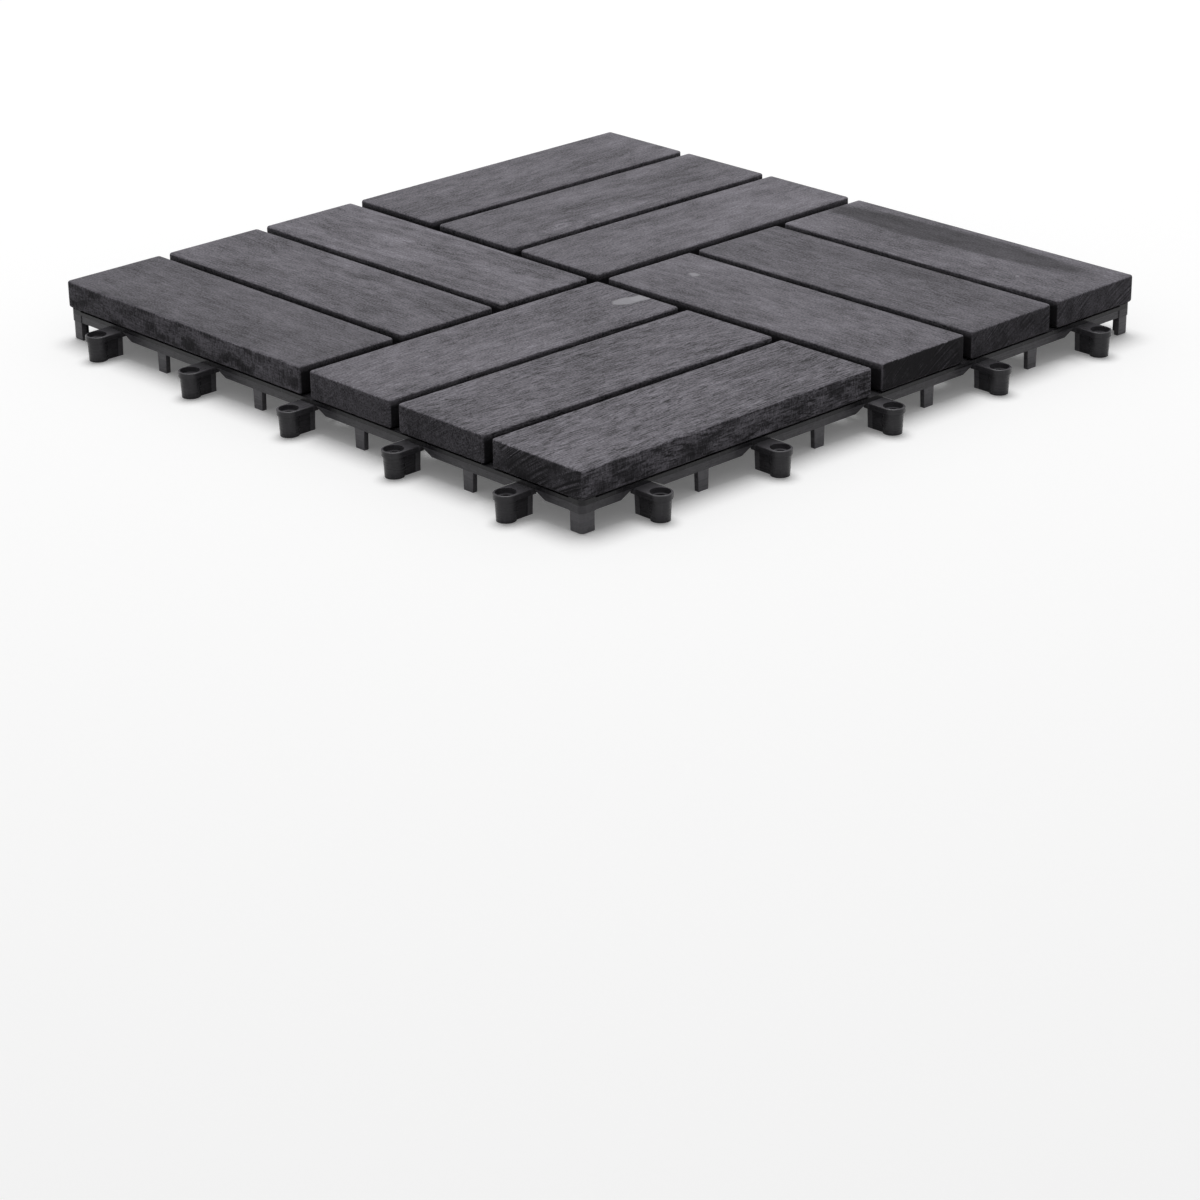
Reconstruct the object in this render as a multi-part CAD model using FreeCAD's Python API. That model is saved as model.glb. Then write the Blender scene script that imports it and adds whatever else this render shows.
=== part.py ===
"""Interlocking deck tile: twelve hardwood slats in a basket weave, screwed from below to a one-piece
moulded plastic grid that clips to the next tile by loops on two sides and pegs on the other two.

Millimetres. +Z is up, z = 0 is the ground under the feet, and the origin is the middle of the square.
The loops are on the -X and -Y sides, the pegs on the +X and +Y sides.
"""
import FreeCAD, Part
import os
from math import radians, tan

# Wooden top
tile_side = 300.0            # the square of wood, edge to edge
slats_in_group = 3           # slats side by side in each quarter of the weave
slat_thickness = 11.2
slat_gap = 4.5               # drainage gap between two slats of one group
group_gap = 5.5              # gap between one quarter of the weave and the next
slat_top_round = 0.8         # small rounding along the walked-on edges
slat_bottom_round = 2.0      # rounding along the edges that face the grid
slat_end_round = 1.3         # rounding of the upright corners of each slat

# Plastic grid: the flange and the wall around its edge
base_height = 12.8           # ground to the underside of the slats
rim_inset = 0.6              # how far the flange stays inside the edge of the wood
rim_drop = 0.5               # slot between the slats and the flange, which lets water out
flange_thickness = 1.5
flange_lip = 0.3             # how far the flange stands proud of the wall below it
rim_depth = 4.6              # flange and wall together
rim_wall = 2.0

# Plastic grid: ribs and feet
rib_pitch = 30.0
rib_thickness = 1.8
rib_depth = 6.0
rib_seat = 1.6               # how far a rib that stops at the flange runs in under it
foot_width = 5.4             # feet in the rim are plates as thick as its wall
foot_draft = 0.3             # how much each end of such a foot leans in by the ground
corner_width = 6.6           # corner posts, which carry the slats at the corners of the tile
corner_round = 2.2           # their rounded upright edge
corner_wall = 2.2            # below the rim they are an L of two plates
corner_toe = 0.6             # rounding of their edges at the ground
cross_foot_span = 8.6        # inner feet, a cross of two plates in line with the ribs
cross_foot_draft = 0.6

# Loops and pegs
loop_width = 9.2             # across the collar round its mouth, and the plate behind that
loop_reach = 8.0             # edge of the wood to the middle of the nose
loop_height = 10.5
loop_collar = 2.2            # height of the collar and of the plate
loop_step = 0.55             # how far the nose below the collar stands back from it
loop_draft = 0.4             # how much each side of the nose and the neck leans in by the bottom
loop_edge = 0.45             # softened top edge
loop_bore = 4.8              # hole that a peg drops into
loop_seat = 7.6              # wider mouth of that hole
loop_seat_depth = 1.9
loop_wall = 1.3              # skin left round the hollow under the neck
neck_width = 5.6             # under the plate the neck is narrower than the nose
neck_inside = 2.2            # how far the neck runs in under the wood
loop_under_flange = 0.2      # room between a loop and the flange of the next tile
loop_room = 1.9              # between a loop and the ribs of the next tile
tile_to_tile = 0.5           # gap left between two tiles when they are clipped together
peg_clearance = 0.1          # round the peg, in the loop's hole and in its mouth
peg_length = 8.6             # below the flange
peg_lead_in = 0.7            # chamfer at the peg's tip
neck_notch_top = 5.0         # the wall is cut away beside each neck: width inside the flange
neck_notch_bottom = 21.0     # the same at the wall's lower edge
slot_top = 15.0              # and wider on the peg sides, to let the next tile's loop in
slot_bottom = 22.0

# Screws
screw_diameter = 3.0
screw_length = 14.0
screw_head = 5.8
screw_head_rim = 0.25        # straight edge of the countersunk head
screw_head_angle = 90.0
screw_point = 2.6
screw_room = 0.3             # round the shank where it passes the boss
thread_room = 0.05           # round the shank in the slat
head_room = 0.15             # round the head in its seat
head_sunk = 0.2              # head below the face of the boss
pilot_extra = 0.8            # pilot hole past the screw's point
boss_diameter = 9.0

# Places worked out from the sizes above
half_side = tile_side / 2
slat_width = (half_side - group_gap / 2 - (slats_in_group - 1) * slat_gap) / slats_in_group
slat_length = half_side - group_gap / 2
peg_from_middle = half_side + tile_to_tile - loop_reach
flange_half = half_side - rim_inset
rib_end = peg_from_middle - loop_width / 2 - loop_room
flange_inner = rib_end - rib_seat
wall_half = flange_half - flange_lip
flange_top = base_height - rim_drop
flange_under = flange_top - flange_thickness
flange_middle = flange_top - flange_thickness / 2
wall_under = flange_top - rim_depth
rib_under = base_height - rib_depth
loop_top = flange_under - loop_under_flange
loop_under = loop_top - loop_height
loop_from_middle = half_side + loop_reach
neck_back = half_side - neck_inside
ribs_each_way = int(flange_inner // rib_pitch)
rib_lines = [n * rib_pitch for n in range(-ribs_each_way, ribs_each_way + 1)]
loop_lines = [n * rib_pitch for n in range(-ribs_each_way, ribs_each_way + 1) if n % 2 == 0]
foot_lines = [n * rib_pitch for n in range(-ribs_each_way, ribs_each_way + 1) if n % 2 != 0]
screw_lines = [rib_pitch, ribs_each_way * rib_pitch]
slat_middles = [half_side - slat_width / 2 - n * (slat_width + slat_gap) for n in range(slats_in_group)]
screw_head_under = rib_under + head_sunk
screw_tip = screw_head_under + screw_length
up = FreeCAD.Vector(0, 0, 1)


def block(x_from, x_to, y_from, y_to, z_from, z_to):
    """A plain block between two corners."""
    corner = FreeCAD.Vector(x_from, y_from, z_from)
    return Part.makeBox(x_to - x_from, y_to - y_from, z_to - z_from, corner)


def turned(shape, quarter_turns):
    """A copy of a shape, turned about the middle of the tile by quarter turns."""
    copy = shape.copy()
    copy.rotate(FreeCAD.Vector(0, 0, 0), up, 90 * quarter_turns)
    return copy


def moved(shape, x, y, z=0):
    copy = shape.copy()
    copy.translate(FreeCAD.Vector(x, y, z))
    return copy


def rectangle(x_from, x_to, y_from, y_to, z):
    corners = [(x_from, y_from), (x_to, y_from), (x_to, y_to), (x_from, y_to), (x_from, y_from)]
    return Part.makePolygon([FreeCAD.Vector(x, y, z) for x, y in corners])


def drafted_block(span_x, span_y, lean, z_from, z_to):
    """A block about the Z axis whose four sides lean in by the given amount towards its lower end."""
    x, y = span_x / 2, span_y / 2
    upper = rectangle(-x, x, -y, y, z_to)
    lower = rectangle(-x + lean, x - lean, -y + lean, y - lean, z_from)
    return Part.makeLoft([lower, upper], True, True)


def turned_profile(points):
    """A solid of revolution about the Z axis, from its half outline as (radius, height) points."""
    outline = Part.makePolygon([FreeCAD.Vector(r, 0, z) for r, z in points + points[:1]])
    return Part.Face(outline).revolve(FreeCAD.Vector(0, 0, 0), up, 360)


def countersunk(shank, head, rim, z_head, z_tip, point):
    """Outline of a countersunk screw or of the hole it needs, head down at z_head and tip up."""
    cone = (head - shank) / 2 / tan(radians(screw_head_angle / 2))
    outline = [(0, z_head), (head / 2, z_head), (head / 2, z_head + rim), (shank / 2, z_head + rim + cone)]
    outline += [(shank / 2, z_tip - point), (0, z_tip)]
    return outline


def edges_on(shape, test):
    return [edge for edge in shape.Edges if all(test(vertex.Point) for vertex in edge.Vertexes)]


# Slats. One group of three lies in the front quarter (x < 0, y < 0) with its slats along X. The other
# quarters are the same group turned by 90, 180 and 270 degrees, which makes the basket weave.
def screw_places():
    """Screw places in the front quarter, slat by slat from the outer one: two screws each."""
    return [[(-x, -y) for x in screw_lines] for y in slat_middles]


def slat(middle, screws):
    """A slat along X in the front quarter, with its rounded edges and two blind pilot holes."""
    top = base_height + slat_thickness
    body = block(-half_side, -half_side + slat_length, middle - slat_width / 2, middle + slat_width / 2,
                 base_height, top)
    uprights = [e for e in body.Edges if abs(e.Vertexes[0].Z - e.Vertexes[1].Z) > slat_thickness / 2]
    body = body.makeFillet(slat_end_round, uprights)
    body = body.makeFillet(slat_top_round, edges_on(body, lambda p: abs(p.z - top) < 0.01))
    body = body.makeFillet(slat_bottom_round, edges_on(body, lambda p: abs(p.z - base_height) < 0.01))
    pilot_radius = screw_diameter / 2 + thread_room
    pilot_top = screw_tip + pilot_extra
    for x, y in screws:
        foot = FreeCAD.Vector(x, y, base_height - 1)
        body = body.cut(Part.makeCylinder(pilot_radius, pilot_top - foot.z, foot))
    return body


# Grid: every function here returns pieces of the one moulding, for the whole tile.
def flange():
    """The flat strip under the outer slats, with rounded corners, open in the middle."""
    plate = block(-flange_half, flange_half, -flange_half, flange_half, flange_under, flange_top)
    corners = [e for e in plate.Edges if abs(e.Vertexes[0].Z - e.Vertexes[1].Z) > flange_thickness / 2]
    plate = plate.makeFillet(corner_round, corners)
    inner = flange_inner
    return [plate.cut(block(-inner, inner, -inner, inner, flange_under - 1, base_height))]


def ribs():
    """The lattice that carries the slats. Below the flange, ribs in line with feet go on to the wall.
    Those in line with a loop go on to its neck only, clear of the next tile's loop on the peg side."""
    pieces = []
    for line in rib_lines:
        start = -wall_half + rim_wall / 2 if line in foot_lines else -neck_back - loop_wall / 2
        end = -start if line in foot_lines else rib_end
        across = (line - rib_thickness / 2, line + rib_thickness / 2)
        for from_middle, to_middle, top in ((start, end, flange_middle), (-rib_end, rib_end, base_height)):
            pieces.append(block(*across, from_middle, to_middle, rib_under, top))
            pieces.append(block(from_middle, to_middle, *across, rib_under, top))
    return pieces


def notched_wall(notch_top, notch_bottom):
    """The wall under the flange on the -Y side, cut away with slanted ends wherever a loop passes."""
    end = flange_half - corner_width / 2
    wall = block(-end, end, -wall_half, -wall_half + rim_wall, wall_under, flange_middle)
    for line in loop_lines:
        lower, upper = notch_bottom / 2, notch_top / 2
        corners = [(-lower, wall_under), (lower, wall_under), (upper, flange_middle), (-upper, flange_middle)]
        corners.append(corners[0])
        outline = Part.makePolygon([FreeCAD.Vector(line + x, -half_side, z) for x, z in corners])
        wall = wall.cut(Part.Face(outline).extrude(FreeCAD.Vector(0, half_side - flange_inner, 0)))
    return wall


def rim_walls():
    """The wall on all four sides: it runs up to each neck's plate, and is open on the peg sides."""
    loop_side = notched_wall(neck_notch_top, neck_notch_bottom)
    peg_side = notched_wall(slot_top, slot_bottom)
    return [turned(loop_side, side) for side in (0, -1)] + [turned(peg_side, side) for side in (1, 2)]


def rim_feet():
    """Four thin feet along each side, plates that go on down from the wall and narrow a little."""
    half = foot_width / 2
    corners = [(-half, wall_under), (half, wall_under), (half - foot_draft, 0), (foot_draft - half, 0)]
    outline = Part.makePolygon([FreeCAD.Vector(x, -wall_half, z) for x, z in corners + corners[:1]])
    foot = Part.Face(outline).extrude(FreeCAD.Vector(0, rim_wall, 0))
    return [turned(moved(foot, line, 0), side) for side in range(4) for line in foot_lines]


def corner_posts():
    """A post at each corner: a full head up to the slat, flush with the flange, and an L-shaped foot."""
    outer = -flange_half
    head = block(outer, outer + corner_width, outer, outer + corner_width, wall_under, base_height)
    upright = edges_on(head, lambda p: p.x < outer + 0.01 and p.y < outer + 0.01)
    head = head.makeFillet(corner_round, upright)
    outer = -wall_half
    inner = outer + corner_width - 2 * flange_lip
    foot = block(outer, inner, outer, inner, 0, wall_under)
    upright = edges_on(foot, lambda p: p.x < outer + 0.01 and p.y < outer + 0.01)
    foot = foot.makeFillet(corner_round - flange_lip, upright)
    toe = edges_on(foot, lambda p: p.z < 0.01 and min(p.x, p.y) < outer + corner_round)
    foot = foot.makeFillet(corner_toe, toe)
    foot = foot.cut(block(outer + corner_wall, 0, outer + corner_wall, 0, -1, wall_under))
    return [turned(piece, side) for side in range(4) for piece in (head, foot)]


def cross_feet():
    """Inner feet under the crossings of the loop lines: two drafted plates in a cross."""
    pieces = []
    lean = cross_foot_draft
    plate = drafted_block(cross_foot_span, rib_thickness + 2 * lean, lean, 0, rib_under)
    foot = plate.fuse(turned(plate, 1))
    farthest = max(loop_lines)
    for x in loop_lines:
        for y in loop_lines:
            if abs(x) < farthest or abs(y) < farthest:
                pieces.append(moved(foot, x, y))
    return pieces


def screw_bosses():
    radius = boss_diameter / 2
    boss = Part.makeCylinder(radius, rib_depth, FreeCAD.Vector(0, 0, rib_under))
    places = [place for pair in screw_places() for place in pair]
    return [turned(moved(boss, x, y), quarter) for quarter in range(4) for x, y in places]


def screw_holes():
    """What the screws need in the bosses: a seat for the head and a clear hole for the shank."""
    seat = countersunk(screw_diameter + 2 * screw_room, screw_head + 2 * head_room,
                       screw_head_rim + head_sunk, rib_under, base_height, 0)
    hole = turned_profile(seat)
    places = [place for pair in screw_places() for place in pair]
    return [turned(moved(hole, x, y), quarter) for quarter in range(4) for x, y in places]


def loop_body():
    """One loop on the -Y side at x = 0, without its holes: a leaning nose under a round collar, and a
    plate from the collar back to the flange with a narrower neck under it."""
    collar, neck = loop_width / 2, neck_width / 2
    nose = collar - loop_step
    plate_under = loop_top - loop_collar
    head = turned_profile([(0, loop_under), (nose - loop_draft, loop_under), (nose, plate_under),
                           (collar, plate_under), (collar, loop_top), (0, loop_top)])
    head.translate(FreeCAD.Vector(0, -loop_from_middle, 0))
    plate = block(-collar, collar, -loop_from_middle, -neck_back, plate_under, loop_top)
    upper = rectangle(-neck, neck, -loop_from_middle, -neck_back, plate_under)
    lower = rectangle(-neck + loop_draft, neck - loop_draft, -loop_from_middle, -neck_back, loop_under)
    body = head.multiFuse([plate, Part.makeLoft([lower, upper], True, True)]).removeSplitter()
    brim = edges_on(body, lambda p: abs(p.z - loop_top) < 0.01 and p.y < -neck_back - 0.01)
    body = body.makeFillet(loop_edge, brim)
    shoulder = collar - loop_edge
    riser = block(-shoulder, shoulder, -wall_half, -neck_back, loop_top - loop_edge, flange_middle)
    return body.fuse(riser)


def loop_hollows():
    """The peg's hole with its wider mouth, and the hollow that keeps the neck's walls thin."""
    hole = turned_profile([(0, loop_under - 1), (loop_bore / 2, loop_under - 1),
                           (loop_bore / 2, loop_top - loop_seat_depth),
                           (loop_seat / 2, loop_top - loop_seat_depth), (loop_seat / 2, loop_top + 1),
                           (0, loop_top + 1)])
    hole.translate(FreeCAD.Vector(0, -loop_from_middle, 0))
    wide = neck_width - 2 * (loop_wall + loop_draft)
    start = -loop_from_middle + loop_bore / 2 + loop_wall
    end = -neck_back - loop_wall
    hollow = block(-wide / 2, wide / 2, start, end, loop_under - 1, loop_top - loop_seat_depth - loop_wall)
    return [hole, hollow]


def on_loop_sides(pieces):
    """Repeats pieces made for a loop at x = 0 on the -Y side along that side and the -X side."""
    return [turned(moved(piece, line, 0), side)
            for side in (0, -1) for line in loop_lines for piece in pieces]


def pegs():
    """Pegs under the flange on the +X and +Y sides, where the next tile's loops come to lie."""
    shank = loop_bore / 2 - peg_clearance
    shoulder = loop_seat / 2 - peg_clearance
    shoulder_under = loop_top - loop_seat_depth + 2 * peg_clearance
    tip = flange_under - peg_length
    peg = turned_profile([(0, tip), (shank - peg_lead_in, tip), (shank, tip + peg_lead_in),
                          (shank, shoulder_under), (shoulder, shoulder_under),
                          (shoulder, flange_middle), (0, flange_middle)])
    return [turned(moved(peg, line, peg_from_middle), side) for side in (0, -1) for line in loop_lines]


def base_grid():
    """The whole moulding: everything that stands up is joined first, then the holes are cut."""
    rim, *others = flange() + rim_walls() + ribs() + rim_feet() + corner_posts() + cross_feet()
    others += screw_bosses() + on_loop_sides([loop_body()]) + pegs()
    body = rim.multiFuse(others).removeSplitter()
    return body.cut(screw_holes() + on_loop_sides(loop_hollows()))


def slat_screws():
    """All the screws, heads down in the bosses: two in every slat."""
    outline = countersunk(screw_diameter, screw_head, screw_head_rim, screw_head_under, screw_tip,
                          screw_point)
    screw = turned_profile(outline)
    places = [place for pair in screw_places() for place in pair]
    return Part.makeCompound(
        [turned(moved(screw, x, y), quarter) for quarter in range(4) for x, y in places])


os.makedirs("parts", exist_ok=True)
nodes = {"base_grid": base_grid(), "slat_screws": slat_screws()}
for quarter, group in enumerate(("front", "right", "back", "left")):
    for number, (middle, screws) in enumerate(zip(slat_middles, screw_places()), 1):
        nodes[f"{group}_slat_{number}"] = turned(slat(-middle, screws), quarter)
for name, shape in nodes.items():
    shape.exportStep(f"parts/{name}.step")
    print(name, "solids", len(shape.Solids), "valid", shape.isValid(), "cm3", round(shape.Volume / 1000, 2))
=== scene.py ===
import math

import bmesh
import bpy
from mathutils import Matrix, Vector, noise


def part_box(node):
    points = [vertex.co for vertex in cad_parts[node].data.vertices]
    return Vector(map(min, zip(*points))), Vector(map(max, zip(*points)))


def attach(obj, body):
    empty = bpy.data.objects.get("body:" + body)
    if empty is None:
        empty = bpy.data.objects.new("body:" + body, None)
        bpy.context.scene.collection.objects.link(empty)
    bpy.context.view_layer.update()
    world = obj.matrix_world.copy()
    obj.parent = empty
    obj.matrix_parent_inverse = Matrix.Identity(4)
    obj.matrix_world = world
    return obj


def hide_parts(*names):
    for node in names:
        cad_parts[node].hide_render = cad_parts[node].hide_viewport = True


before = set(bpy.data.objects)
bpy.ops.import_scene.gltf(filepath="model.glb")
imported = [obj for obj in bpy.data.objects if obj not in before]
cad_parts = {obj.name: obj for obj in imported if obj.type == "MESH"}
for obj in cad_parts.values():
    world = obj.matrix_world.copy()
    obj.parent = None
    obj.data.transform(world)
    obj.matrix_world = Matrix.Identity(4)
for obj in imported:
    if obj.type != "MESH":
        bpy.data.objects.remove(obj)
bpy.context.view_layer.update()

mm = 0.001  # the frame is in metres, and sizes are written in millimetres


# The grid is one black moulding: flange, wall, ribs, feet, loops and pegs. It is injection moulded in a
# tough plastic, so its faces have the fine spark texture of the mould, soft scuffs and a trace of dust.
def node(tree, kind, inputs=None, **settings):
    """A shader node with its settings. Each input is a plain value or another node's output."""
    made = tree.nodes.new("ShaderNode" + kind)
    for name, value in settings.items():
        setattr(made, name, value)
    for name, value in (inputs or {}).items():
        if isinstance(value, bpy.types.NodeSocket):
            tree.links.new(value, made.inputs[name])
        else:
            made.inputs[name].default_value = value
    return made


def calc(tree, operation, first, second=0.0):
    """The result of one sum on two numbers."""
    return node(tree, "Math", {0: first, 1: second}, operation=operation).outputs[0]


def ease(tree, value, low, high, at_low=0.0, at_high=1.0):
    """A number eased from at_low to at_high as the value goes from low to high."""
    made = node(tree, "MapRange", {"Value": value, "From Min": low, "From Max": high, "To Min": at_low,
                                   "To Max": at_high}, interpolation_type="SMOOTHSTEP")
    return made.outputs[0]


def tint(tree, mask, first, second, blend="MIX"):
    """The second colour laid on the first one by a mask."""
    made = node(tree, "Mix", {0: mask, 6: first, 7: second}, data_type="RGBA", blend_type=blend)
    return made.outputs[2]


def stretched(tree, place, along, across, upward=None):
    """A place divided by a feature's size in each direction, so that a noise of scale 1 has that grain."""
    sizes = (along, across, across if upward is None else upward)
    return node(tree, "Mapping", {"Vector": place, "Scale": [1 / size for size in sizes]}).outputs[0]


def speckle(tree, place, detail=2.0, rough=0.5):
    """Soft noise about one unit wide, from 0 to 1."""
    made = node(tree, "TexNoise", {"Vector": place, "Scale": 1.0, "Detail": detail, "Roughness": rough})
    return made.outputs[0]


def new_material(name):
    """An empty material with its finish and its output node in place."""
    material = bpy.data.materials.new(name)
    material.use_nodes = True
    material.node_tree.nodes.clear()
    finish = node(material.node_tree, "BsdfPrincipled")
    node(material.node_tree, "OutputMaterial", {"Surface": finish.outputs[0]})
    return material, material.node_tree, finish


def grid_plastic():
    """The black plastic, with painted light making the wall and the feet paler."""
    wall_top, wall_full = 10.9 * mm, 10.5 * mm
    foot_top, foot_full = 7.9 * mm, 7.4 * mm
    loop_start, tile_edge = 150.4 * mm, 149.9 * mm
    scuff_strength, dust_strength = 0.30, 0.10
    black = (0.0225, 0.0215, 0.0245, 1)
    # Painted light on the lower wall, and also the colour of the real scuffs
    lit_and_scuffed = (0.130, 0.126, 0.138, 1)
    lit_feet_grey = (0.210, 0.204, 0.220, 1)
    dust = (0.17, 0.165, 0.17, 1)
    material, tree, finish = new_material("black grid plastic")
    place = node(tree, "TexCoord").outputs["Object"]
    spot = node(tree, "SeparateXYZ", {0: place}).outputs
    height = spot[2]
    out = calc(tree, "MAXIMUM", calc(tree, "ABSOLUTE", spot[0]), calc(tree, "ABSOLUTE", spot[1]))
    facing = node(tree, "SeparateXYZ", {0: node(tree, "NewGeometry").outputs["Normal"]}).outputs[2]
    spark = speckle(tree, stretched(tree, place, 0.35 * mm, 0.35 * mm), 3)
    cloud = speckle(tree, stretched(tree, place, 22 * mm, 22 * mm), 3)
    mottle = speckle(tree, stretched(tree, place, 2.6 * mm, 2.6 * mm), 4, 0.6)
    flow = speckle(tree, stretched(tree, place, 9 * mm, 9 * mm, 1.2 * mm), 2)
    scuffs = ease(tree, speckle(tree, stretched(tree, place, 1.1 * mm, 1.1 * mm, 5 * mm), 4), 0.56, 0.72)
    # Below the flange the sides are painted paler, as painted light for the light that the lower wall
    # catches, the feet most of all and the loops, which stand out past the tile's edge, half as much
    blotches = ease(tree, mottle, 0.30, 0.70, 0.62, 0.95)
    lit_wall = calc(tree, "MULTIPLY", ease(tree, height, wall_top, wall_full), blotches)
    lit_wall = calc(tree, "MULTIPLY", lit_wall, ease(tree, out, loop_start, tile_edge, 0.5, 1.0))
    lit_feet = ease(tree, height, foot_top, foot_full)
    lit_feet = calc(tree, "MULTIPLY", lit_feet, ease(tree, out, loop_start, tile_edge))
    lying = calc(tree, "MULTIPLY", ease(tree, facing, 0.6, 0.95), ease(tree, cloud, 0.35, 0.7))
    # Painted light: the wall under the flange and the feet are made paler than the black
    colour = tint(tree, lit_wall, black, lit_and_scuffed)
    colour = tint(tree, calc(tree, "MULTIPLY", lit_feet, ease(tree, mottle, 0.3, 0.7, 0.75, 1.0)), colour, lit_feet_grey)
    colour = tint(tree, calc(tree, "MULTIPLY", scuffs, scuff_strength), colour, lit_and_scuffed)
    colour = tint(tree, calc(tree, "MULTIPLY", lying, dust_strength), colour, dust)
    gloss = calc(tree, "ADD", ease(tree, flow, 0.3, 0.7, 0.22, 0.34), calc(tree, "MULTIPLY", lying, 0.2))
    bump = node(tree, "Bump", {"Strength": 0.25, "Distance": 0.06 * mm, "Height": spark})
    tree.links.new(colour, finish.inputs["Base Color"])
    tree.links.new(gloss, finish.inputs["Roughness"])
    tree.links.new(bump.outputs[0], finish.inputs["Normal"])
    finish.inputs["Specular IOR Level"].default_value = 0.3
    return material


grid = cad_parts["base_grid"]
grid.data.materials.clear()
grid.data.materials.append(grid_plastic())


# The slats are twelve pieces of hardwood, planed, eased along their edges, stained charcoal and held by
# screws from below. They lie in four groups of three, each group turned by a quarter against the next, as
# in a basket weave.
def rounded_slat(low, high, lengthwise, seed):
    """A slat's mesh between two corners: a block with eased edges, a little uneven from hand sanding."""
    top_round, bottom_round, end_round = 0.8 * mm, 2.0 * mm, 1.3 * mm
    cell = 3.0 * mm
    hair = 0.01 * mm
    # Depths in mm, of sanding all over, of sanding at an edge, and of nicks, which are cut only where the
    # noise is above nick_from
    sanded, sanded_edge, nicked_edge = 0.03, 0.04, 0.07
    swells_per_metre, nicks_per_metre, nick_from = 90, 420, 0.25
    form = bmesh.new()
    bmesh.ops.create_cube(form, size=1, matrix=Matrix.LocRotScale((low + high) / 2, None, high - low))

    def bevel(chosen, width, segments):
        bmesh.ops.bevel(form, geom=chosen, offset=width, offset_type="OFFSET", affect="EDGES",
                        segments=segments, profile=0.5, material=-1, clamp_overlap=True)

    def edges_at(test):
        return [e for e in form.edges if all(test(v.co) for v in e.verts)]

    uprights = [e for e in form.edges if abs(e.verts[0].co.z - e.verts[1].co.z) > mm]
    bevel(uprights, end_round, 3)
    bevel(edges_at(lambda p: p.z > high.z - hair), top_round, 4)
    bevel(edges_at(lambda p: p.z < low.z + hair), bottom_round, 4)
    # The faces are cut into cells, fine enough for the unevenness to show
    for axis in (lengthwise, 1 - lengthwise, 2):
        long = [e for e in form.edges if abs(e.verts[0].co[axis] - e.verts[1].co[axis]) > 1.5 * cell]
        if long:
            span = max(abs(e.verts[0].co[axis] - e.verts[1].co[axis]) for e in long)
            bmesh.ops.subdivide_edges(form, edges=long, cuts=int(span / cell), use_grid_fill=True)
    form.normal_update()
    # 0 on a flat face and 1 where the normal lies half way between two faces, for the wear of the edges and
    # for their lighter colour, which is partly painted highlight
    edge = form.verts.layers.float.new("edge")
    for vertex in form.verts:
        sharpness = 1 - max(abs(part) for part in vertex.normal)
        vertex[edge] = min(1.0, sharpness / (1 - 0.5 ** 0.5))
    moves = []
    for vertex in form.verts:
        spot = vertex.co + Vector((seed * 0.37, seed * 0.11, 0))
        sanding = noise.noise(spot * swells_per_metre) * 0.5 + 0.5
        nicks = max(0.0, noise.noise(spot * nicks_per_metre) - nick_from)
        at_edge = vertex[edge] * (sanded_edge * sanding + nicked_edge * nicks) * mm
        depth = sanded * mm * sanding + at_edge
        moves.append((vertex, vertex.normal * -depth))
    for vertex, move in moves:
        vertex.co += move
    mesh = bpy.data.meshes.new("slat")
    form.to_mesh(mesh)
    form.free()
    for face in mesh.polygons:
        face.use_smooth = True
    return mesh


def vector(tree, operation, first, second):
    """The result of one sum on two places."""
    return node(tree, "VectorMath", {0: first, 1: second}, operation=operation).outputs[0]


def length(tree, place):
    """How far a place is from the origin."""
    return node(tree, "VectorMath", {0: place}, operation="LENGTH").outputs["Value"]


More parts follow.
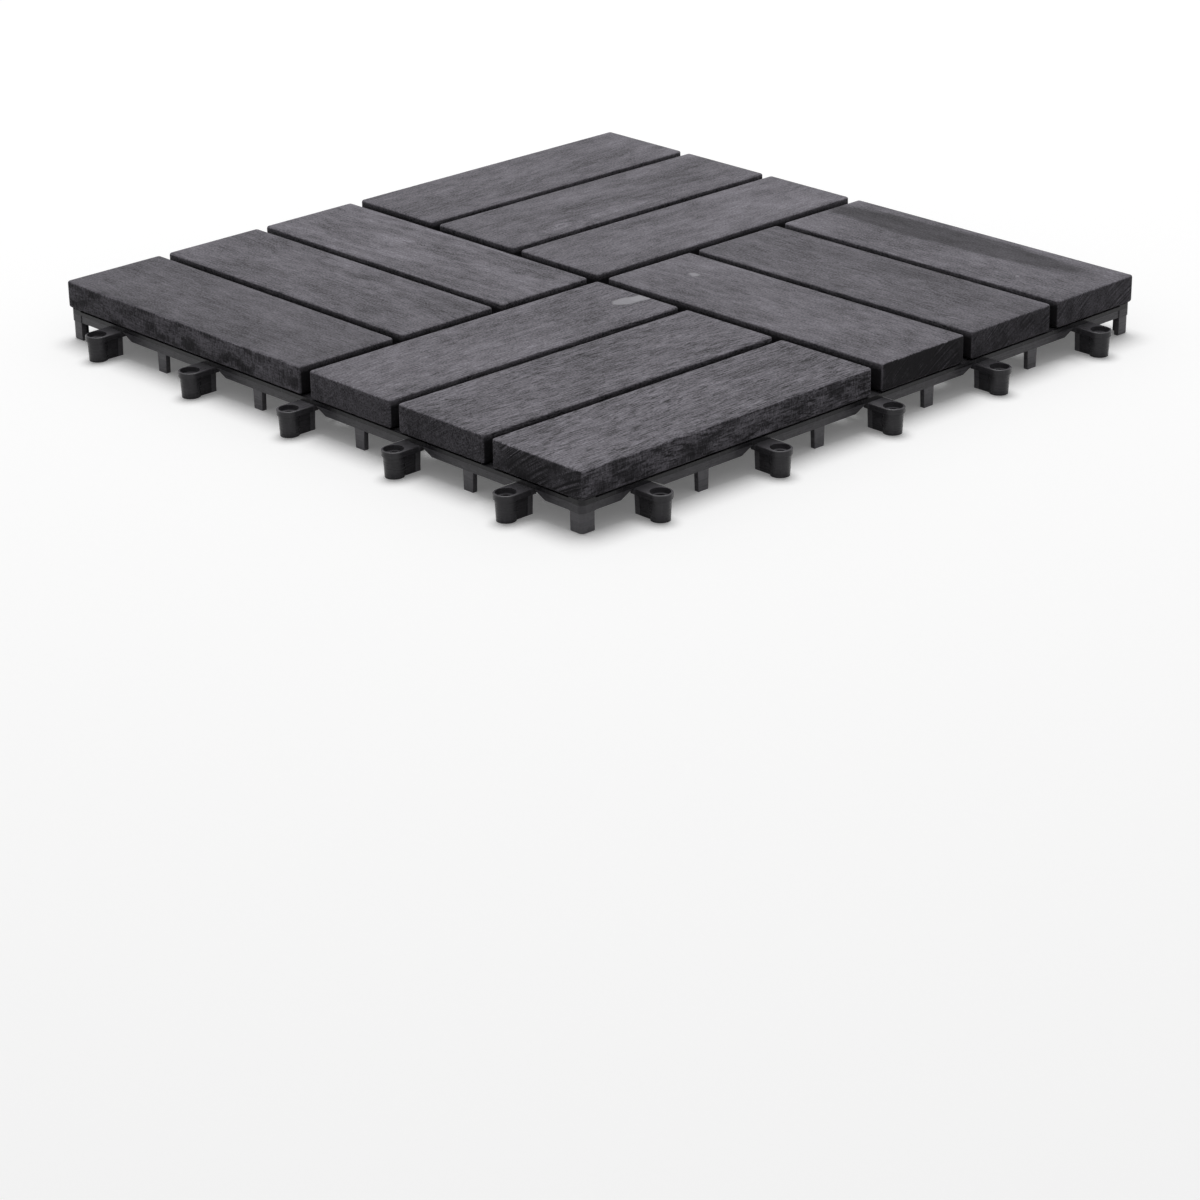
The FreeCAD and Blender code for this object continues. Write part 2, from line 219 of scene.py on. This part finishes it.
def stained_wood_group():
    """Solid hardwood under a charcoal stain: rings about a pith, fibres, pores and clouds in the stain, with
    painted shade in the gaps and on the ends and a painted highlight along the edges.
    """
    ring_width, half_length = 2.1 * mm, 73 * mm
    ring_contrast, pore_contrast, edge_wear_and_highlight, darkest = 0.72, 0.42, 0.36, 0.15
    group = bpy.data.node_groups.new("charcoal hardwood", "ShaderNodeTree")
    for name, kind, start in (
            ("Place", "Vector", (0, 0, 0)), ("Facing", "Vector", (0, 0, 1)), ("Pith", "Vector", (0, 0, 0)),
            ("Lean", "Vector", (0, 0, 0)), ("Knot", "Vector", (1, 1, 0)), ("Knot size", "Float", 0.0),
            ("Tone", "Float", 1.0), ("End tone", "Float", 0.8), ("Figure", "Float", 1.0),
            ("Pores", "Float", 1.0), ("Sawn end", "Float", 0.5), ("Sawn side", "Float", 0.0),
            ("Fade", "Float", 0.0), ("Start", "Vector", (0, 0, 0)), ("Edge", "Float", 0.0)):
        socket = group.interface.new_socket(name, in_out="INPUT", socket_type="NodeSocket" + kind)
        socket.default_value = start
    for name, kind in (("Colour", "Color"), ("Roughness", "Float"), ("Height", "Float")):
        group.interface.new_socket(name, in_out="OUTPUT", socket_type="NodeSocket" + kind)
    given = group.nodes.new("NodeGroupInput").outputs
    place = given["Place"]

    # Every slat ends at the tile's edge on its -X end; the outer slat of a group shows its -Y side as well
    facing = node(group, "SeparateXYZ", {0: given["Facing"]}).outputs
    has_side = calc(group, "GREATER_THAN", given["Sawn side"], 0.01)
    outer_end = ease(group, facing[0], -0.60, -0.92)
    outer_side = calc(group, "MULTIPLY", ease(group, facing[1], -0.60, -0.92), has_side)
    open_end = ease(group, facing[0], -0.30, -0.60)
    open_side = calc(group, "MULTIPLY", ease(group, facing[1], -0.30, -0.60), has_side)
    upward = ease(group, facing[2], 0.3, 0.7)
    in_the_open = calc(group, "ADD", upward, calc(group, "ADD", open_end, open_side))
    gap_shade_mask = calc(group, "MAXIMUM", calc(group, "SUBTRACT", 1.0, in_the_open), 0.0)

    # Each slat reads the noises from a start of its own, so that no two slats are alike
    board = vector(group, "ADD", place, given["Start"])
    swells = stretched(group, board, 70 * mm, 16 * mm)
    sway = node(group, "TexNoise", {"Vector": swells, "Scale": 1.0, "Detail": 2.0})
    swayed = node(group, "VectorMath", {0: sway.outputs["Color"], "Scale": 9 * mm}, operation="SCALE")
    heart = vector(group, "ADD", place, swayed.outputs[0])
    heart = node(group, "Mapping", {"Vector": heart, "Location": given["Pith"], "Rotation": given["Lean"]},
                 vector_type="TEXTURE").outputs[0]
    radius = length(group, vector(group, "MULTIPLY", heart, (0, 1, 1)))
    from_knot = vector(group, "SUBTRACT", place, given["Knot"])
    near = length(group, vector(group, "MULTIPLY", from_knot, (0.55, 1, 0)))
    bulge = calc(group, "MULTIPLY", ease(group, near, 0.0, 15 * mm, 1.0, 0.0), given["Knot size"])
    ring_number = calc(group, "DIVIDE", calc(group, "ADD", radius, bulge), ring_width)
    rings = node(group, "TexNoise", {"W": ring_number, "Scale": 1.0, "Detail": 2.5, "Roughness": 0.6},
                 noise_dimensions="1D").outputs[0]
    rings = calc(group, "SUBTRACT", rings, 0.5)

    def uneven(where, along, across, detail=2.0, rough=0.5):
        """Noise about zero, with features of this length along the slat and this width across it."""
        whole = speckle(group, stretched(group, where, along, across), detail, rough)
        return calc(group, "SUBTRACT", whole, 0.5)

    def part_of(value, amount):
        """A value times an amount."""
        return calc(group, "MULTIPLY", value, amount)

    grain_place = vector(group, "ADD", heart, given["Start"])
    fibres = uneven(grain_place, 9 * mm, 0.55 * mm, 3, 0.65)
    flecks = uneven(grain_place, 9 * mm, 2.0 * mm, 2)
    grit = uneven(board, 0.9 * mm, 0.7 * mm, 2)
    dapple = uneven(board, 7 * mm, 4 * mm, 3, 0.6)
    patches = uneven(board, 24 * mm, 11 * mm, 3)
    cloud = uneven(board, 60 * mm, 26 * mm, 2)
    crowding = calc(group, "ADD", part_of(rings, 0.20), part_of(patches, 0.30))
    pores = speckle(group, stretched(group, grain_place, 4.6 * mm, 0.62 * mm), 1, 0.4)
    pores = part_of(ease(group, calc(group, "ADD", pores, crowding), 0.54, 0.66), given["Pores"])

    # The saw left upright streaks and dark torn patches along a side, and blade arcs across an end
    streaks = uneven(board, 0.7 * mm, 9 * mm, 3, 0.6)
    torn = calc(group, "ADD", uneven(board, 13 * mm, 5 * mm, 3, 0.6), part_of(streaks, 0.9))
    torn = ease(group, torn, -0.02, 0.09)
    from_saw_hub = vector(group, "ADD", place, (0, 0.06, 0.09))
    blade = length(group, vector(group, "MULTIPLY", from_saw_hub, (0, 1, 1)))
    arcs = node(group, "TexNoise", {"W": calc(group, "DIVIDE", blade, 1.0 * mm), "Scale": 1.0, "Detail": 3.0},
                noise_dimensions="1D").outputs[0]
    arc_patches = ease(group, uneven(board, 9 * mm, 9 * mm, 2), -0.15, 0.12)
    arcs = part_of(calc(group, "SUBTRACT", arcs, 0.5), arc_patches)
    smudge = uneven(board, 7 * mm, 7 * mm, 4, 0.6)
    end_marks = calc(group, "ADD", part_of(arcs, 5.5), part_of(smudge, 2.6))
    side_marks = calc(group, "SUBTRACT", part_of(streaks, 2.4), part_of(torn, 0.85))
    side_marks = calc(group, "ADD", side_marks, 0.44)
    saw = calc(group, "ADD", part_of(part_of(end_marks, given["Sawn end"]), outer_end),
               part_of(part_of(side_marks, given["Sawn side"]), outer_side))

    # How light the stained wood is: 1 and the sum of its grain, then the darker ends, partly painted shade,
    # the saw, the lighter edges, partly painted highlight, and the painted shade in the gaps
    light = calc(group, "ADD", 1.0, part_of(part_of(rings, given["Figure"]), ring_contrast))
    for amount, part in ((1.35, fibres), (2.1, grit), (0.95, dapple), (1.0, patches), (0.7, cloud)):
        light = calc(group, "ADD", light, part_of(part, amount))
    grain = calc(group, "ADD", part_of(fibres, 1.9), part_of(flecks, 0.35))
    light = calc(group, "ADD", light, part_of(grain, given["Pores"]))
    light = calc(group, "SUBTRACT", light, part_of(pores, pore_contrast))
    spot = node(group, "SeparateXYZ", {0: place}).outputs
    fade = calc(group, "MULTIPLY", calc(group, "DIVIDE", spot[0], -half_length), given["Fade"])
    light = calc(group, "ADD", light, fade)
    # The outer end darker: partly end grain that takes more stain, partly painted shade
    light = part_of(light, node(group, "Mix", {0: outer_end, 2: 1.0, 3: given["End tone"]}).outputs[0])
    light = part_of(light, calc(group, "MAXIMUM", calc(group, "ADD", 1.0, saw), 0.2))
    # Edges lighter: partly stain worn off and partly a painted highlight
    light = calc(group, "ADD", light, part_of(given["Edge"], edge_wear_and_highlight))
    # Painted shade: the faces in the gaps between slats are darkened below their top few millimetres
    gap_shade_depth = ease(group, spot[2], 5.0 * mm, 2.4 * mm, 0.15, 0.86)
    light = part_of(light, calc(group, "SUBTRACT", 1.0, part_of(gap_shade_mask, gap_shade_depth)))
    # Tone: partly the slat's own colour and partly painted light, lighter or darker with the light across the
    # tile
    light = part_of(calc(group, "MAXIMUM", light, darkest), given["Tone"])
    stain = (0.1235, 0.1175, 0.132, 1)
    colour = tint(group, 1.0, stain, node(group, "CombineXYZ", {0: light, 1: light, 2: light}).outputs[0],
                  "MULTIPLY")
    rough = ease(group, fibres, -0.3, 0.3, 0.60, 0.74)
    height = calc(group, "SUBTRACT", part_of(fibres, 0.6), part_of(pores, 0.8))
    height = calc(group, "ADD", height, part_of(rings, 0.3))
    height = calc(group, "ADD", height, part_of(saw, 0.5))
    result = group.nodes.new("NodeGroupOutput").inputs
    for name, value in (("Colour", colour), ("Roughness", rough), ("Height", height)):
        group.links.new(value, result[name])
    return group


def soft_mark_group():
    """The mask of one soft-edged mark: 1 inside an oval about its centre, 0 outside it, a little ragged."""
    ragged, ragged_scale = 0.5, 2.4
    group = bpy.data.node_groups.new("soft mark", "ShaderNodeTree")
    for name, kind, start in (("Centre", "Vector", (0, 0, 0)), ("Half size", "Vector", (1, 1, 1)),
                              ("Turn", "Float", 0.0), ("Inner", "Float", 0.4)):
        socket = group.interface.new_socket(name, in_out="INPUT", socket_type="NodeSocket" + kind)
        socket.default_value = start
    group.interface.new_socket("Mask", in_out="OUTPUT", socket_type="NodeSocketFloat")
    given = group.nodes.new("NodeGroupInput").outputs
    place = node(group, "TexCoord").outputs["Object"]
    turn = node(group, "CombineXYZ", {2: given["Turn"]}).outputs[0]
    local = node(group, "Mapping", {"Vector": place, "Location": given["Centre"], "Rotation": turn,
                                    "Scale": given["Half size"]}, vector_type="TEXTURE").outputs[0]
    finer = node(group, "VectorMath", {0: local, "Scale": ragged_scale}, operation="SCALE").outputs[0]
    rough = calc(group, "SUBTRACT", speckle(group, finer, 4), 0.5)
    away = calc(group, "ADD", length(group, local), calc(group, "MULTIPLY", rough, ragged))
    mask = ease(group, away, given["Inner"], 1.0, 1.0, 0.0)
    group.links.new(mask, group.nodes.new("NodeGroupOutput").inputs["Mask"])
    return group


hardwood = stained_wood_group()
soft_mark = soft_mark_group()

# How each slat was cut. tone: how light it is, partly the wood's own colour and partly painted light, the
# slats lighter or darker with the light across the tile. fade: how much lighter its outer end is than its
# middle.
# end_tone: how light the sawn end is, partly darker end grain under the stain and partly painted shade on
# ends
# that lie in shade. sawn_end, sawn_side: how strong the saw's marks are on the outer end and the outer long
# side.
# figure, pores: how strong the rings and the pores are. pith: where the middle of the tree ran, across from
# the slat's middle and above it. lean: how the pith leaned, in degrees. knot: a knot's place on the tile and
# how far the rings bulge round it. Sizes are in millimetres.
# marks: each one's place on the tile, half length along the slat, half width, turn in degrees, how light it
# is against the wood round it, and how hard its outline is. One lighter than smear_from is a smear of pale
# dust, which lies on the top face only.
slats = {
    "front_slat_1": dict(
        tone=1.05, fade=0.11, end_tone=0.46, sawn_end=1.7, sawn_side=1.3, figure=0.7,
        pores=1.2, pith=(14, -32), lean=(0.0, 1.5), marks=[
            (-35, -121, 16, 7, 0, 0.90, 0.2),
            (-120, -128, 24, 9, 0, 1.06, 0.1),
            (-103, -137, 0.7, 0.5, 0, 2.6, 0.4)]),
    "front_slat_2": dict(
        tone=1.055, end_tone=0.85, sawn_end=0.40, figure=0.7, pores=1.0, pith=(-25, -40),
        lean=(1.0, -2.5), marks=[
            (-67, -55, 5, 3.5, 10, 0.84, 0.2),
            (-50, -86, 22, 9, 8, 0.94, 0.1),
            (-128, -95, 14, 6, 0, 0.93, 0.1)]),
    "front_slat_3": dict(
        tone=1.16, fade=0.03, end_tone=0.92, sawn_end=0.25, figure=0.5, pores=0.6,
        pith=(10, -55), lean=(0.5, 0.8), marks=[
            (-11.5, -29.2, 8.0, 4.1, -12, 2.0, 0.82),
            (-5.0, -30.6, 6.0, 3.5, -12, 2.0, 0.82),
            (-141, -19, 3.5, 3, 0, 0.88, 0.2),
            (-3, -38, 2.6, 8, 0, 1.10, 0.2)]),
    "right_slat_1": dict(
        tone=1.095, end_tone=0.83, sawn_end=0.7, sawn_side=0.6, figure=0.5, pores=0.3,
        pith=(-18, -44), lean=(0.4, 0.6), marks=[
            (136.5, -62, 92, 11, 1, 0.42, 0.70),
            (120, -110, 60, 8, 0, 1.06, 0.2),
            (117, -118, 1.2, 0.8, 0, 2.4, 0.4)]),
    "right_slat_2": dict(
        tone=0.93, end_tone=0.65, sawn_end=0.95, figure=0.8, pores=0.4, pith=(6, -30),
        lean=(1.2, 1.8), marks=[
            (90, -78, 80, 8, 0, 0.82, 0.2),
            (84, -28, 34, 10, 0, 0.94, 0.2),
            (84, -72, 16, 9, 0, 0.92, 0.1),
            (66, -98, 14, 3, 0, 1.10, 0.1),
            (88, -33, 1.6, 0.8, 0, 0.6, 0.3)]),
    "right_slat_3": dict(
        tone=1.10, fade=-0.04, end_tone=0.10, sawn_end=5.0, figure=0.4, pores=0.3,
        pith=(-30, -60), lean=(0.5, 0.5), marks=[
            (29.6, -24.5, 3.6, 2.5, -12, 1.9, 0.45),
            (20, -100, 14, 5, 0, 1.08, 0.1),
            (30, -116, 4, 16, 6, 0.92, 0.1),
            (41, -60, 12, 5, 0, 0.88, 0.1)]),
    "back_slat_1": dict(
        tone=1.06, fade=0.09, sawn_side=0.6, figure=1.0, pores=0.3, pith=(22, -24),
        lean=(2.5, 1.5), marks=[
            (19, 124, 15, 13, 0, 0.88, 0.1),
            (63, 118, 28, 5, -4, 0.93, 0.1),
            (72, 129, 34, 6, -6, 1.06, 0.1),
            (140, 124, 3, 4, 0, 0.84, 0.1),
            (120, 138, 22, 6, 0, 0.95, 0.1)]),
    "back_slat_2": dict(
        tone=1.05, figure=0.9, pores=0.3, pith=(-4, -22), lean=(2.0, -1.0), knot=(40, 62, 14), marks=[
            (116, 77, 34, 8, -2, 0.82, 0.2),
            (76, 69, 66, 3.2, 0, 0.88, 0.2),
            (76, 59.5, 66, 3, 0, 1.13, 0.2),
            (129, 79.5, 9, 2.2, 4, 1.16, 0.3),
            (36, 61, 7, 3.4, 8, 1.5, 0.5),
            (37, 61, 3.2, 1.4, 8, 0.6, 0.3),
            (45, 63, 4, 2.2, -10, 0.72, 0.3),
            (42, 68, 13, 2.2, 6, 0.8, 0.3),
            (56, 62, 9, 2.6, -6, 1.22, 0.3)]),
    "back_slat_3": dict(
        tone=1.135, fade=0.06, figure=0.4, pores=0.2, pith=(30, -48), lean=(1.0, 1.0), marks=[
            (16, 43, 18, 7, 0, 0.92, 0.1),
            (56, 33, 32, 9, 0, 1.05, 0.1),
            (76, 8, 68, 3, 0, 0.88, 0.2)]),
    "left_slat_1": dict(
        tone=0.83, fade=-0.03, sawn_side=1.7, figure=0.6, pores=0.3, pith=(0, -42),
        lean=(1.0, 0.5), marks=[
            (-117, 82, 24, 5, 0, 0.93, 0.1),
            (-111.5, 17, 9, 4.5, 0, 0.86, 0.2),
            (-106, 28, 14, 3, 0, 1.08, 0.2)]),
    "left_slat_2": dict(
        tone=1.02, figure=0.6, pores=0.4, pith=(-12, -38), lean=(0.8, 1.2), marks=[
            (-64, 80, 60, 2.6, 0, 0.88, 0.2),
            (-69.5, 76, 66, 3, 0, 1.13, 0.2),
            (-86.5, 76, 66, 5, 0, 0.93, 0.2),
            (-62.5, 67, 5, 4.5, 0, 0.86, 0.2),
            (-61, 22, 17, 4.5, 0, 0.84, 0.2),
            (-66, 12, 12, 8, 0, 0.96, 0.1)]),
    "left_slat_3": dict(
        tone=1.165, fade=0.09, figure=1.0, pores=0.3, pith=(2, -17), lean=(0.6, 4.2), marks=[
            (-43.5, 76, 68, 3.5, 0, 0.90, 0.2),
            (-20, 76, 66, 4.5, 0, 1.06, 0.1),
            (-20.4, 93, 11, 4.2, 18, 1.2, 0.3),
            (-19.7, 81, 9, 4.2, -14, 1.16, 0.3),
            (-26, 26, 14, 4, 0, 1.07, 0.2),
            (-11, 17, 9, 6, 0, 0.86, 0.1),
            (-12, 78, 14, 5, 0, 0.93, 0.1)]),
}
pale_dust = (0.31, 0.305, 0.325, 1)
smear_from = 1.5
smear_cover = 0.76


def slat_wood(name, cut, middle, quarter):
    """The material of one slat, with its own grain and marks."""
    material, tree, finish = new_material(name.replace("_", " ") + " wood")
    mark_depth = 30 * mm
    turn = (0, 0, quarter * math.pi / 2)
    coordinates = node(tree, "TexCoord").outputs
    place = node(tree, "Mapping", {"Vector": coordinates["Object"], "Location": middle, "Rotation": turn},
                 vector_type="TEXTURE").outputs[0]
    facing = node(tree, "Mapping", {"Vector": coordinates["Normal"], "Rotation": turn},
                  vector_type="TEXTURE").outputs[0]
    edge = node(tree, "Attribute", attribute_name="edge", attribute_type="GEOMETRY").outputs["Fac"]
    wood = node(tree, "Group", node_tree=hardwood)
    for socket, value in (("Place", place), ("Facing", facing), ("Edge", edge)):
        tree.links.new(value, wood.inputs[socket])
    wood.inputs["Start"].default_value = (middle.x * 7 + middle.y * 3, middle.y * 5, 0)
    wood.inputs["Pith"].default_value = (0, cut["pith"][0] * mm, cut["pith"][1] * mm)
    wood.inputs["Lean"].default_value = (0, math.radians(cut["lean"][0]), math.radians(cut["lean"][1]))
    if "knot" in cut:
        x, y, size = cut["knot"]
        aside = Matrix.Rotation(-turn[2], 3, "Z") @ (Vector((x * mm, y * mm, middle.z)) - middle)
        wood.inputs["Knot"].default_value = aside
        wood.inputs["Knot size"].default_value = size * mm
    for socket, value in (("Tone", cut["tone"]), ("Figure", cut["figure"]), ("Pores", cut["pores"]),
                          ("End tone", cut.get("end_tone", 0.85)), ("Sawn end", cut.get("sawn_end", 0.4)),
                          ("Sawn side", cut.get("sawn_side", 0.0)), ("Fade", cut.get("fade", 0.0))):
        wood.inputs[socket].default_value = value
    colour = wood.outputs["Colour"]
    on_top = ease(tree, node(tree, "SeparateXYZ", {0: facing}).outputs[2], 0.5, 0.9)
    for x, y, half_length, half_width, angle, lightness, hardness in cut["marks"]:
        mark = node(tree, "Group", node_tree=soft_mark)
        mark.inputs["Centre"].default_value = (x * mm, y * mm, middle.z)
        mark.inputs["Half size"].default_value = (half_length * mm, half_width * mm, mark_depth)
        mark.inputs["Turn"].default_value = turn[2] + math.radians(angle)
        mark.inputs["Inner"].default_value = hardness
        if lightness > smear_from:
            smear = calc(tree, "MULTIPLY", mark.outputs[0], on_top)
            colour = tint(tree, calc(tree, "MULTIPLY", smear, smear_cover), colour, pale_dust)
        else:
            colour = tint(tree, mark.outputs[0], colour, (lightness, lightness, lightness, 1), "MULTIPLY")
    bump = node(tree, "Bump", {"Strength": 0.5, "Distance": 0.22 * mm, "Height": wood.outputs["Height"]})
    tree.links.new(colour, finish.inputs["Base Color"])
    tree.links.new(wood.outputs["Roughness"], finish.inputs["Roughness"])
    tree.links.new(bump.outputs[0], finish.inputs["Normal"])
    finish.inputs["Specular IOR Level"].default_value = 0.1
    return material


quarters = {"front": 0, "right": 1, "back": 2, "left": 3}
for number, (name, cut) in enumerate(slats.items()):
    low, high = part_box(name)
    quarter = quarters[name.split("_")[0]]
    mesh = rounded_slat(low, high, quarter % 2, number)
    piece = bpy.data.objects.new(name + "_wood", mesh)
    bpy.context.scene.collection.objects.link(piece)
    mesh.materials.append(slat_wood(name, cut, (low + high) / 2, quarter))
    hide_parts(name)
    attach(piece, "root")


# The screws are countersunk steel wood screws with a cross recess, driven up from below through the bosses
# of the grid, two to a slat. Only their heads show, when the tile is turned over.
def screw_steel():
    """Zinc plated steel, a little blotchy, with fine marks of the brush."""
    material, tree, finish = new_material("zinc plated steel")
    place = node(tree, "TexCoord").outputs["Object"]
    patch = speckle(tree, stretched(tree, place, 1.6 * mm, 1.6 * mm), 3)
    brushed = speckle(tree, stretched(tree, place, 0.25 * mm, 0.25 * mm), 2)
    colour = tint(tree, ease(tree, patch, 0.35, 0.7), (0.56, 0.56, 0.55, 1), (0.40, 0.39, 0.37, 1))
    finish.inputs["Metallic"].default_value = 1.0
    tree.links.new(colour, finish.inputs["Base Color"])
    tree.links.new(ease(tree, patch, 0.3, 0.75, 0.28, 0.46), finish.inputs["Roughness"])
    bump = node(tree, "Bump", {"Strength": 0.2, "Distance": 0.03 * mm, "Height": brushed})
    tree.links.new(bump.outputs[0], finish.inputs["Normal"])
    return material


def add_screw(form, spot, turn):
    """A screw with its flat head down at the spot: a turned outline, closed by a face with a cross recess."""
    arm, half_width = 1.6 * mm, 0.42 * mm
    recess_depth, recess_taper = 1.15 * mm, 0.42
    # Radius and height of each corner of the outline, in mm, from the head's rim to the tip
    outline = ((2.72, 0.0), (2.84, 0.04), (2.9, 0.12), (2.9, 0.25), (1.5, 1.65), (1.5, 11.4), (0.0, 14.0))
    points = [form.verts.new((radius * mm, 0, height * mm)) for radius, height in outline]
    lines = [form.edges.new(pair) for pair in zip(points, points[1:])]
    known = set(form.verts) - set(points)
    bmesh.ops.spin(form, geom=points + lines, cent=(0, 0, 0), axis=(0, 0, 1), dvec=(0, 0, 0),
                   angle=2 * math.pi, steps=40, use_merge=True, use_normal_flip=False, use_duplicate=False)
    bmesh.ops.remove_doubles(form, verts=[v for v in form.verts if v not in known], dist=0.001 * mm)
    rim = [e for e in form.edges if e.is_boundary and e.verts[0] not in known]
    corners = []
    for quarter in range(4):
        swing = Matrix.Rotation(quarter * math.pi / 2, 3, "Z")
        for x, y in ((half_width, half_width), (half_width, arm), (-half_width, arm)):
            corners.append(form.verts.new(swing @ Vector((x, y, 0))))
    recess = form.faces.new(corners)
    mouth = list(recess.edges)
    deeper = bmesh.ops.extrude_face_region(form, geom=[recess])["geom"]
    floor_points = [g for g in deeper if isinstance(g, bmesh.types.BMVert)]
    bmesh.ops.delete(form, geom=[recess], context="FACES_ONLY")
    bmesh.ops.scale(form, vec=(recess_taper, recess_taper, 1), verts=floor_points)
    bmesh.ops.translate(form, vec=(0, 0, recess_depth), verts=floor_points)
    bmesh.ops.triangle_fill(form, use_beauty=True, use_dissolve=False, edges=rim + mouth,
                            normal=(0, 0, -1))
    added = [v for v in form.verts if v not in known]
    bmesh.ops.rotate(form, cent=(0, 0, 0), matrix=Matrix.Rotation(turn, 3, "Z"), verts=added)
    bmesh.ops.translate(form, vec=spot, verts=added)


# The two screws of a slat stand this far from the middle of the tile, with their crosses turned anyhow
screw_reaches = (30 * mm, 120 * mm)
screw_form = bmesh.new()
for number, name in enumerate(slats):
    low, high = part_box(name)
    middle = (low + high) / 2
    lengthwise = 0 if high.x - low.x > high.y - low.y else 1
    for reach in screw_reaches:
        spot = middle.copy()
        spot[lengthwise] = math.copysign(reach, middle[lengthwise])
        spot.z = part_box("slat_screws")[0].z
        add_screw(screw_form, spot, number * 0.7 + reach * 30)
bmesh.ops.recalc_face_normals(screw_form, faces=screw_form.faces)
screw_mesh = bpy.data.meshes.new("screws")
screw_form.to_mesh(screw_mesh)
screw_form.free()
for face in screw_mesh.polygons:
    face.use_smooth = len(face.vertices) == 4 and abs(face.normal.z) < 0.9
screw_mesh.set_sharp_from_angle(angle=math.radians(35))
screws = bpy.data.objects.new("screws_with_recess", screw_mesh)
bpy.context.scene.collection.objects.link(screws)
screw_mesh.materials.append(screw_steel())
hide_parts("slat_screws")
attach(screws, "root")


# The studio: a wide pale floor, an even white surround, and one broad lamp overhead. The camera stands
# where the photograph was taken from.
def floor_paint():
    """Pale paint to the eye, but a darker floor in the light that it throws back up at the tile."""
    material, tree, finish = new_material("pale floor")
    fade_from, fade_to, near_glow = 0.6, 2.6, 0.12
    path = node(tree, "LightPath").outputs
    seen = calc(tree, "MAXIMUM", path["Is Camera Ray"], path["Is Glossy Ray"])
    # Far from the tile, where the lamp fades, the floor is seen as white as the surround behind it
    place = node(tree, "TexCoord").outputs["Object"]
    away = ease(tree, length(tree, place), fade_from, fade_to)
    far_seen = calc(tree, "MULTIPLY", away, path["Is Camera Ray"])
    paint = tint(tree, seen, (0.12, 0.12, 0.12, 1), (0.93, 0.93, 0.93, 1))
    tree.links.new(tint(tree, far_seen, paint, (0.0, 0.0, 0.0, 1)), finish.inputs["Base Color"])
    finish.inputs["Roughness"].default_value = 0.9
    finish.inputs["Specular IOR Level"].default_value = 0.1
    finish.inputs["Emission Color"].default_value = (1, 1, 1, 1)
    glow = calc(tree, "MULTIPLY", path["Is Camera Ray"], ease(tree, away, 0.0, 1.0, near_glow, 1.0))
    tree.links.new(glow, finish.inputs["Emission Strength"])
    return material


floor_form = bmesh.new()
bmesh.ops.create_circle(floor_form, cap_ends=True, segments=96, radius=6.0)
floor_mesh = bpy.data.meshes.new("floor")
floor_form.to_mesh(floor_mesh)
floor_form.free()
floor = bpy.data.objects.new("floor", floor_mesh)
floor_mesh.materials.append(floor_paint())
bpy.context.scene.collection.objects.link(floor)

world = bpy.data.worlds.new("white surround")
bpy.context.scene.world = world
world.use_nodes = True
world.node_tree.nodes.clear()
world_path = node(world.node_tree, "LightPath").outputs
surround_seen = calc(world.node_tree, "MAXIMUM", world_path["Is Camera Ray"], world_path["Is Glossy Ray"])
surround = node(world.node_tree, "Background", {
    "Color": (1, 1, 1, 1), "Strength": ease(world.node_tree, surround_seen, 0.0, 1.0, 0.30, 1.0)})
node(world.node_tree, "OutputWorld", {"Surface": surround.outputs[0]})

lamp_data = bpy.data.lights.new("overhead lamp", "AREA")
lamp_data.shape = "DISK"
lamp_data.size = 2.2
lamp_data.energy = 70.0
lamp = bpy.data.objects.new("overhead lamp", lamp_data)
lamp.location = (0.5, 0.6, 3.0)
lamp.rotation_euler = (-lamp.location).to_track_quat("-Z", "Y").to_euler()
bpy.context.scene.collection.objects.link(lamp)

camera_data = bpy.data.cameras.new("camera")
camera_data.sensor_width = 36.0
camera_data.lens = 104.6
camera_data.clip_start = 0.05
camera = bpy.data.objects.new("camera", camera_data)
eye = Vector((-0.90489, -0.96403, 0.45667))
ahead = Vector((0.62756, 0.66965, -0.39717)).normalized()
right = Vector((0.72535, -0.68824, -0.01429))
right = (right - ahead * right.dot(ahead)).normalized()
above = right.cross(ahead)
camera.matrix_world = Matrix.Translation(eye) @ Matrix((right, above, -ahead)).transposed().to_4x4()
bpy.context.scene.collection.objects.link(camera)
bpy.context.scene.camera = camera
bpy.context.scene.view_settings.view_transform = "Standard"
